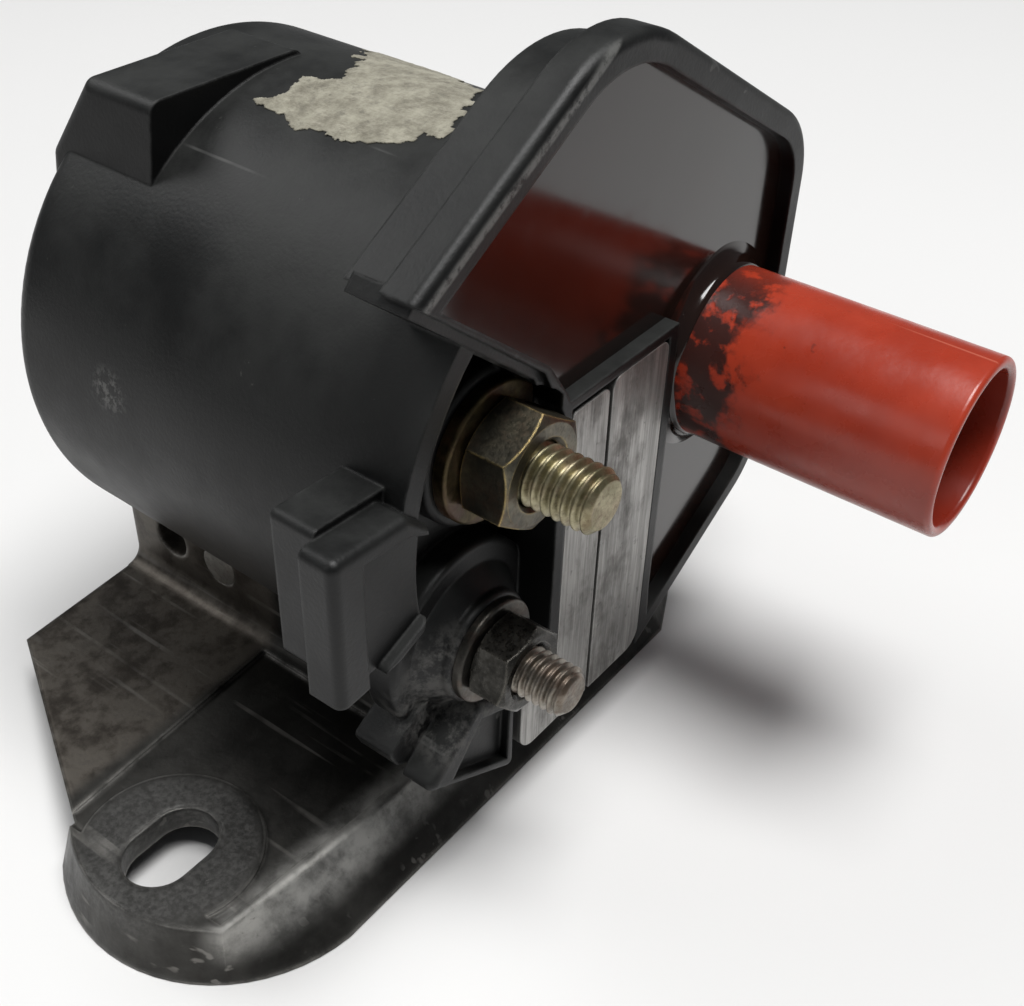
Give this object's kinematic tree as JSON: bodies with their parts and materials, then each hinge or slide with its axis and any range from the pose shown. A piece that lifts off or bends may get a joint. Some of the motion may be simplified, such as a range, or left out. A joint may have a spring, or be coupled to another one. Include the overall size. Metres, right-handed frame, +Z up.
{
  "type": "ignition coil",
  "caption": "Potted ignition coil with a laminated core, a high-tension outlet, threaded terminal studs with nuts, and a pressed steel mounting foot with slots.",
  "frame": {"origin": "midway between the two foot slots, on the plane the foot rests on", "axes": "+X along the line of the slots, -Y the way the high-tension outlet and the studs point, +Z up out of the foot"},
  "size_m": [0.0989, 0.0823, 0.0782],
  "materials": {
    "housing_plastic": "satin black moulded plastic, dusty and scratched",
    "resin": "glossy dark red-brown potting resin",
    "core_steel": "laminated steel, brushed along the stack, with dark stains",
    "insulation": "pressed insulation board",
    "bobbin_plastic": "natural moulded plastic",
    "copper_wire": "enamelled copper wire",
    "tower_plastic": "orange-red moulded plastic, scratched and greasy",
    "contact_brass": "tarnished brass",
    "stud_plated": "yellow zinc plated steel with rust",
    "stud_plain": "brown stained steel",
    "nut_plated": "worn yellow zinc plated steel",
    "nut_plain": "blackened greasy steel",
    "washer_plated": "yellow zinc plated steel, rusty at the rim",
    "washer_plain": "dull greasy steel",
    "foot_steel": "bare pressed steel, worn and stained",
    "rivet_steel": "bare steel",
    "paper": "torn aged paper"
  },
  "bodies": {
    "coil": {"housing": "housing_plastic", "potting_resin": "resin", "core_front_left": "core_steel", "core_front_right": "core_steel", "core_rear_yoke": "core_steel", "core_centre_limb": "core_steel", "air_gap_shim": "insulation", "core_sleeve": "insulation", "primary_bobbin": "bobbin_plastic", "primary_winding": "copper_wire", "primary_lead_start": "copper_wire", "primary_lead_end": "copper_wire", "secondary_bobbin": "bobbin_plastic", "secondary_winding": "copper_wire", "ht_lead": "copper_wire", "ht_tower": "tower_plastic", "ht_contact": "contact_brass", "stud_m6": "stud_plated", "stud_m5": "stud_plain", "foot_bracket": "foot_steel", "core_rivets": "rivet_steel", "paper_remnant": "paper"},
    "washer_upper": {"washer_m6": "washer_plated"},
    "nut_upper": {"nut_m6": "nut_plated"},
    "washer_lower": {"washer_m5": "washer_plain"},
    "nut_lower": {"nut_m5": "nut_plain"}
  },
  "joints": [
    {"name": "upper_lift", "type": "slide", "parent": "coil", "child": "washer_upper", "axis": [0, -1, 0], "range_m": [0, 0.004]},
    {"name": "upper_turn", "type": "hinge", "parent": "washer_upper", "child": "nut_upper", "pos_m": [-0.012, -0.0195, 0.045], "axis": [0, -1, 0], "range_deg": [0, 1440]},
    {"name": "lower_lift", "type": "slide", "parent": "coil", "child": "washer_lower", "axis": [0, -1, 0], "range_m": [0, 0.0032]},
    {"name": "lower_turn", "type": "hinge", "parent": "washer_lower", "child": "nut_lower", "pos_m": [-0.0147, -0.0215, 0.0252], "axis": [0, -1, 0], "range_deg": [0, 1440]}
  ],
  "couplings": [
    {"joint": "upper_turn", "follows": "upper_lift", "rad_per_m": 6283.2},
    {"joint": "lower_turn", "follows": "lower_lift", "rad_per_m": 7854}
  ]
}
